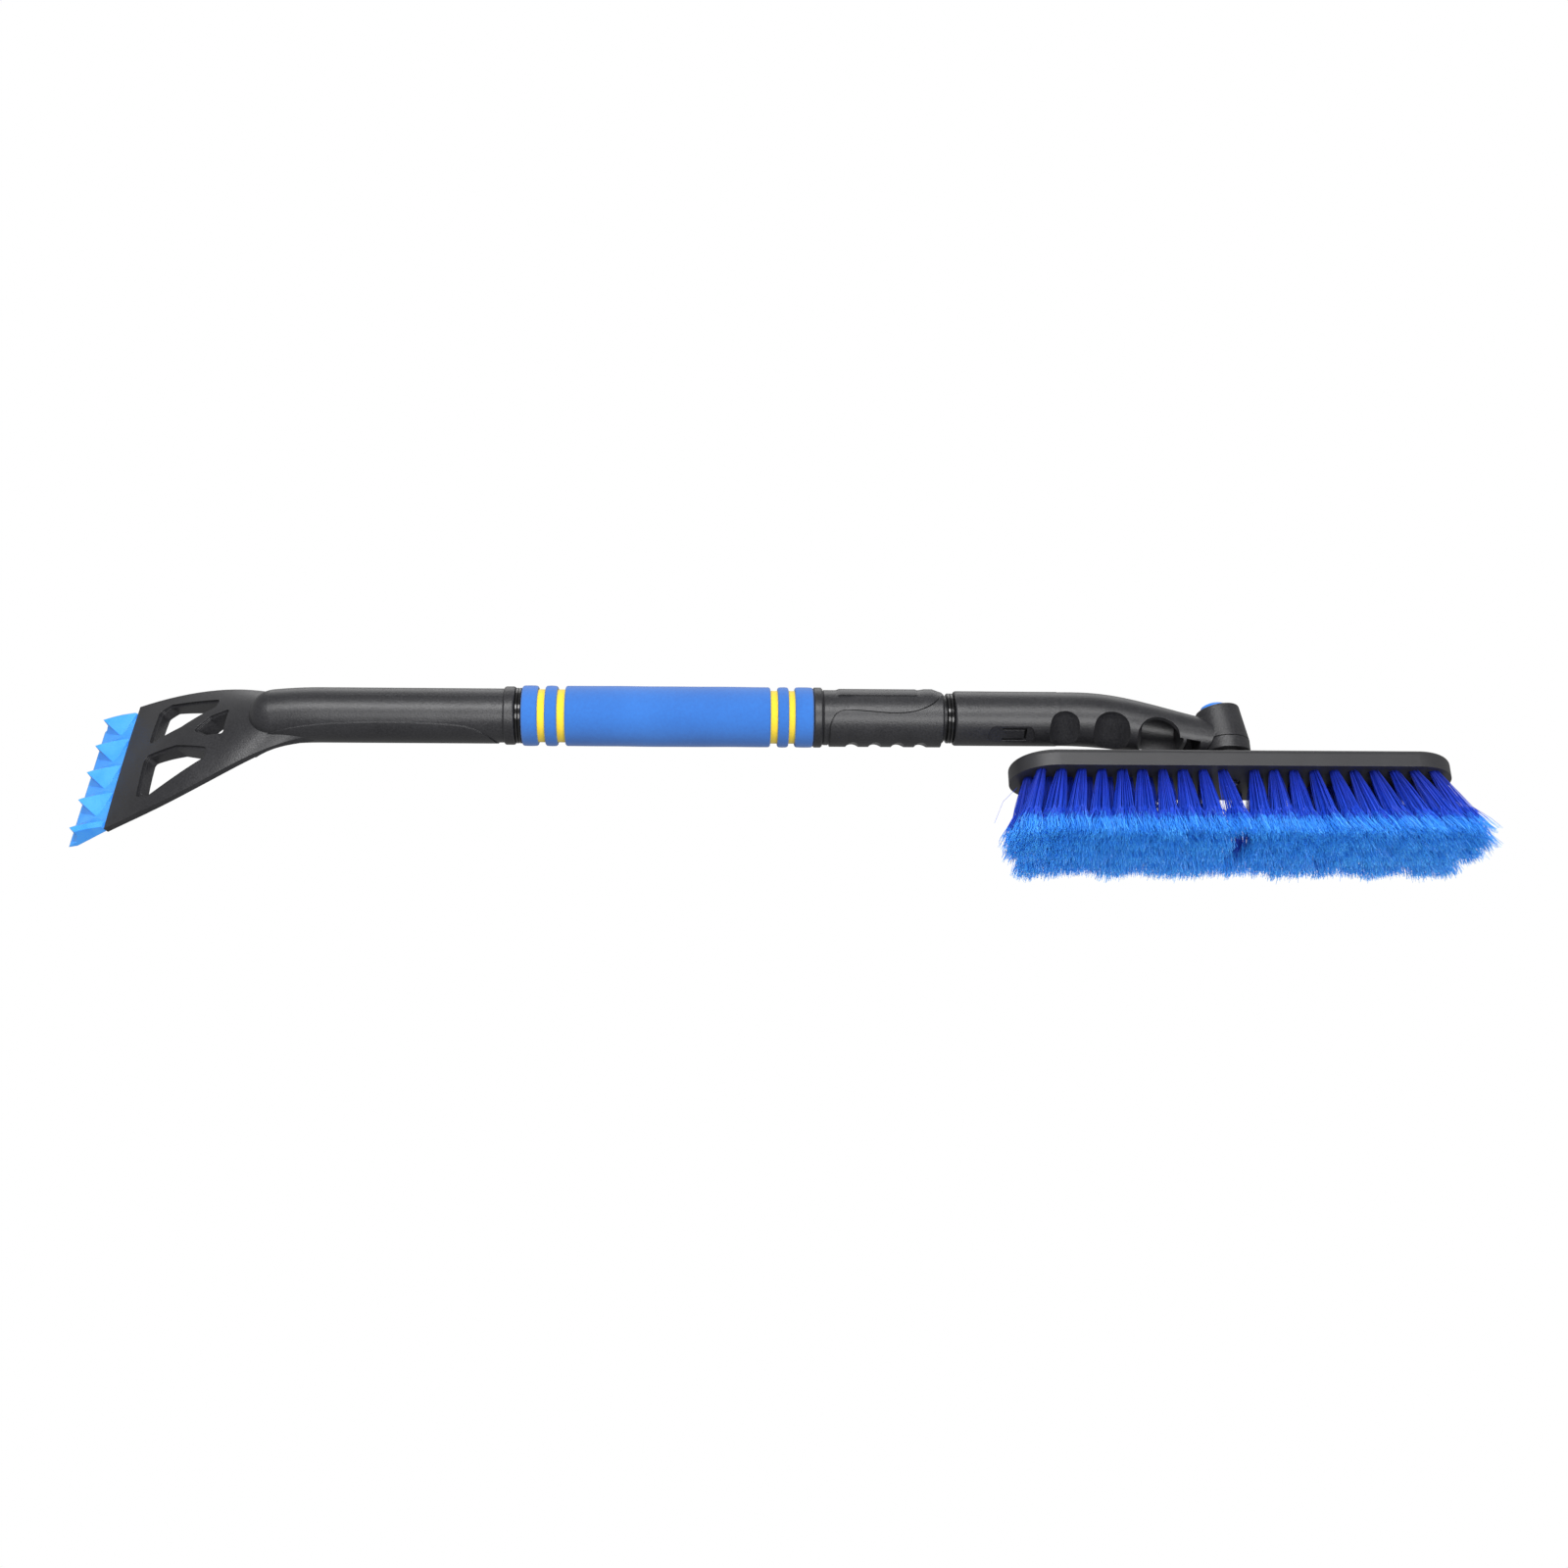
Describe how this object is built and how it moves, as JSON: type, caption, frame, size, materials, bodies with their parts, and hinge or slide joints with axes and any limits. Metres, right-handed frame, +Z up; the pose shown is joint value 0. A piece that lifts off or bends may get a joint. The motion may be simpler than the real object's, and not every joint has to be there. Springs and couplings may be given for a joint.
{
  "type": "snow brush scraper",
  "caption": "Telescopic snow brush with a bent fan-shaped ice scraper, foam grip, twist-lock pole and a swivelling brush head with a push-button lock.",
  "frame": {"origin": "point of the bristles' flat working face straight below the brush head's swivel axis", "axes": "+X along the pole away from the scraper, +Z up, away from the bristles and along the swivel axis, +Y across"},
  "size_m": [0.7977, 0.11, 0.1157],
  "materials": {
    "black_plastic": "fine spark texture, satin",
    "board_plastic": "smooth satin",
    "blue_blade": "semi-gloss",
    "blue_button": "semi-gloss",
    "gloss_black": "gloss",
    "black_tube": "black anodised, satin",
    "blue_foam": "closed-cell foam, matte",
    "yellow_foam": "closed-cell foam, matte",
    "bristle": "polypropylene filament with split ends",
    "white_nylon": "satin",
    "zinc_steel": "zinc plated",
    "spring_steel": "drawn wire"
  },
  "bodies": {
    "scraper_section": {"scraper_handle": "black_plastic", "scraper_blade": "blue_blade", "handle_screw": "zinc_steel", "outer_tube": "black_tube", "outer_tube_plug": "black_plastic", "foam_stop_ring": "gloss_black", "foam_core": "yellow_foam", "foam_main_grip": "blue_foam", "foam_rear_wide_band": "blue_foam", "foam_rear_slim_band": "blue_foam", "foam_front_wide_band": "blue_foam", "foam_front_slim_band": "blue_foam", "lock_grip": "black_plastic", "grip_screw": "zinc_steel", "guide_bush": "black_plastic"},
    "expander": {"expander_ring": "white_nylon", "expander_washer": "zinc_steel", "expander_screw": "zinc_steel"},
    "brush_section": {"lock_plug": "white_nylon", "plug_pin": "zinc_steel", "inner_tube": "black_tube", "bumper_ring": "gloss_black", "brush_arm": "black_plastic", "button_spring": "spring_steel"},
    "lock_button": {"lock_button": "blue_button", "lock_gear": "white_nylon"},
    "brush_head": {"brush_board": "board_plastic", "tuft_staples": "zinc_steel", "bristle_bed": "bristle", "swivel_hub": "black_plastic", "hub_cap": "white_nylon", "pivot_screw": "zinc_steel", "pivot_washer": "zinc_steel"}
  },
  "joints": [
    {"name": "telescope", "type": "slide", "parent": "scraper_section", "child": "expander", "axis": [1, 0, 0], "range_m": [0, 0.2]},
    {"name": "twist_lock", "type": "hinge", "parent": "expander", "child": "brush_section", "pos_m": [-0.43, 0, 0.084], "axis": [1, 0, 0], "continuous": true},
    {"name": "head_swivel", "type": "hinge", "parent": "brush_section", "child": "brush_head", "pos_m": [0, 0, 0.06], "axis": [0, 0, 1], "continuous": true},
    {"name": "button_press", "type": "slide", "parent": "brush_section", "child": "lock_button", "axis": [0, 0, -1], "range_m": [0, 0.0024], "stiffness_N_per_m": 1500, "springref_m": -0.004, "deforming": ["button_spring"]}
  ]
}
